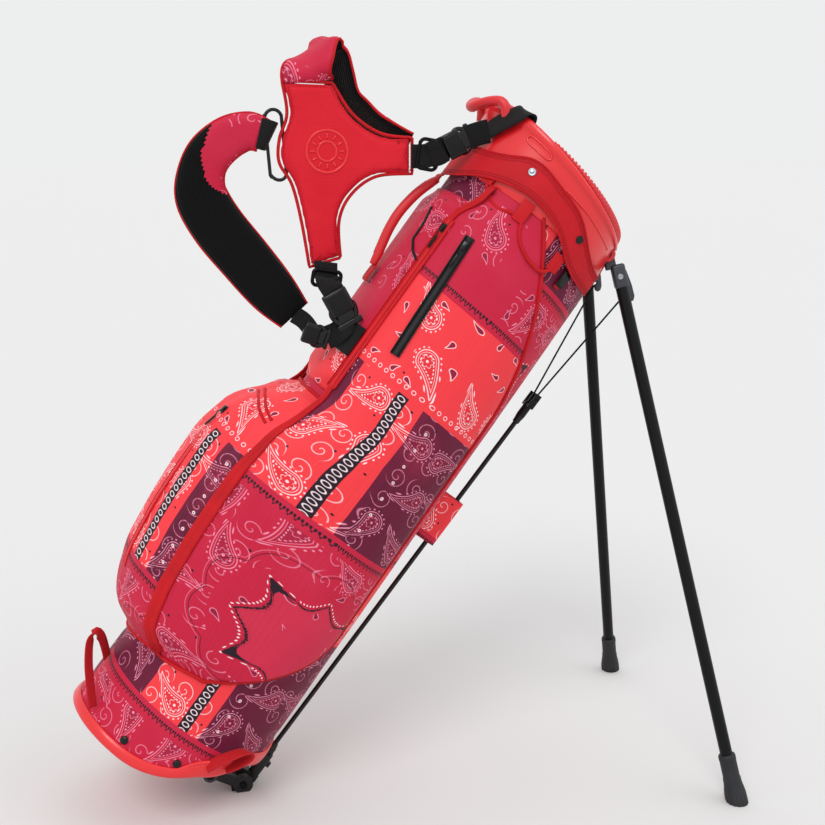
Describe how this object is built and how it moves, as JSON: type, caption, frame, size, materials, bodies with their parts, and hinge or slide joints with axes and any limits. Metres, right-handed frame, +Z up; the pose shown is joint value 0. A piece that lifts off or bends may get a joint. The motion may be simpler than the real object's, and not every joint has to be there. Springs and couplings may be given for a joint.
{
  "type": "golf stand bag",
  "caption": "Oval carry bag for golf clubs on a folding two-leg stand, with a four-way mouth, zipped pockets, padded double harness and a kick foot that opens the legs.",
  "frame": {"origin": "middle of the kick foot's flat sole, on the floor under the bag's back bottom edge", "axes": "+X from the kick foot to the leg feet, +Y away from the side with the black zip, +Z up from the floor"},
  "size_m": [0.792, 0.4166, 0.9091],
  "materials": {
    "print_fabric": "woven polyester with a bandana print",
    "ripstop": "red ripstop",
    "lining": "matte black lining",
    "coral_plastic": "gloss moulded coral red",
    "coral_rubber": "soft satin red",
    "black_plastic": "satin black",
    "steel_black": "gloss black",
    "black_aluminium": "gloss black anodised",
    "gunmetal": "satin gunmetal",
    "snap_steel": "satin",
    "rubber": "matte",
    "fibreglass": "satin",
    "red_fabric": "red woven tape",
    "webbing": "black woven webbing",
    "zip_black": "coated black tape",
    "zip_red": "red zip tape"
  },
  "bodies": {
    "bag": {"body_shell": "print_fabric", "base_boot": "coral_plastic", "boot_rivets": "black_plastic", "heel_bracket": "gunmetal", "heel_pin": "steel_black", "collar": "coral_plastic", "ribbed_bead": "coral_rubber", "grab_handle": "coral_plastic", "divider_top": "coral_plastic", "divider_panels": "lining", "cuff_band": "ripstop", "cuff_snaps": "snap_steel", "leg_hinge_block": "coral_plastic", "leg_pins": "steel_black", "stay_rods": "fibreglass", "apparel_pocket_near": "print_fabric", "apparel_pocket_far": "print_fabric", "ball_pocket": "print_fabric", "top_pocket": "print_fabric", "tube_handle": "red_fabric", "handle_patches": "webbing", "rod_keeper": "red_fabric", "towel_cord": "red_fabric", "loop_label": "webbing", "pull_loops": "red_fabric", "valuables_zip": "zip_black", "apparel_zip": "zip_red", "ball_zip": "zip_red", "harness_anchor_upper": "webbing", "harness_anchor_lower": "webbing"},
    "leg_near": {"leg_bracket_near": "gunmetal", "leg_tube_near": "black_aluminium", "leg_rivet_near": "snap_steel", "leg_foot_near": "rubber"},
    "leg_far": {"leg_bracket_far": "gunmetal", "leg_tube_far": "black_aluminium", "leg_rivet_far": "snap_steel", "leg_foot_far": "rubber"},
    "kick_foot": {"kick_foot": "black_plastic", "foot_link_pin": "steel_black"},
    "actuator": {"rod_sleeve": "black_plastic", "push_rod": "steel_black", "rod_yoke": "black_plastic", "yoke_pins": "gunmetal"},
    "wire_near": {"wire_near": "steel_black"},
    "wire_far": {"wire_far": "steel_black"},
    "harness": {"harness_pad": "ripstop", "pad_badge": "coral_rubber", "shoulder_strap_upper": "print_fabric", "shoulder_strap_lower": "print_fabric", "strap_ring": "steel_black", "strap_sliders": "black_plastic", "strap_buckles": "black_plastic", "strap_webbing": "webbing"},
    "valuables_pull": {"valuables_pull": "black_plastic"},
    "apparel_pull": {"apparel_pull": "black_plastic"},
    "ball_pull": {"ball_pull": "black_plastic"}
  },
  "joints": [
    {"name": "stand_fold", "type": "hinge", "parent": "bag", "child": "leg_near", "pos_m": [0.45786, -0.043, 0.6575], "axis": [0.2801, 0.9462, -0.1617], "range_deg": [0, 42]},
    {"name": "leg_far_fold", "type": "hinge", "parent": "bag", "child": "leg_far", "pos_m": [0.45786, 0.043, 0.6575], "axis": [-0.2801, 0.9462, 0.1617], "range_deg": [0, 42]},
    {"name": "kick_foot_swing", "type": "hinge", "parent": "bag", "child": "kick_foot", "pos_m": [-0.03379, 0, 0.03147], "axis": [0, 1, 0], "range_deg": [0, 33.1]},
    {"name": "push_rod_slide", "type": "slide", "parent": "bag", "child": "actuator", "axis": [-0.6157, 0, -0.788], "range_m": [0, 0.026]},
    {"name": "wire_near_swing", "type": "hinge", "parent": "actuator", "child": "wire_near", "pos_m": [0.38466, -0.0048, 0.47611], "axis": [-0.4259, -0.9046, 0.0197], "range_deg": [0, 8.83]},
    {"name": "wire_far_swing", "type": "hinge", "parent": "actuator", "child": "wire_far", "pos_m": [0.38466, 0.0048, 0.47611], "axis": [0.4259, -0.9046, -0.0197], "range_deg": [0, 8.83]},
    {"name": "harness_swing", "type": "hinge", "parent": "bag", "child": "harness", "pos_m": [0.23568, -0.055, 0.69149], "axis": [0.6157, 0, 0.788], "range_deg": [-3, 62]},
    {"name": "valuables_zip_slide", "type": "slide", "parent": "bag", "child": "valuables_pull", "axis": [-0.5701, -0.0373, -0.8208], "range_m": [0, 0.125]},
    {"name": "apparel_zip_slide", "type": "slide", "parent": "bag", "child": "apparel_pull", "axis": [-0.6049, -0.0112, -0.7963], "range_m": [0, 0.12]},
    {"name": "ball_zip_slide", "type": "slide", "parent": "bag", "child": "ball_pull", "axis": [-0.7724, -0.0042, -0.6351], "range_m": [0, 0.03]}
  ],
  "couplings": [
    {"joint": "leg_far_fold", "follows": "stand_fold", "ratio": 1},
    {"joint": "kick_foot_swing", "follows": "stand_fold", "ratio": 0.78691},
    {"joint": "push_rod_slide", "follows": "stand_fold", "m_per_rad": 0.035271},
    {"joint": "wire_near_swing", "follows": "stand_fold", "ratio": 0.20904},
    {"joint": "wire_far_swing", "follows": "stand_fold", "ratio": 0.20904}
  ]
}
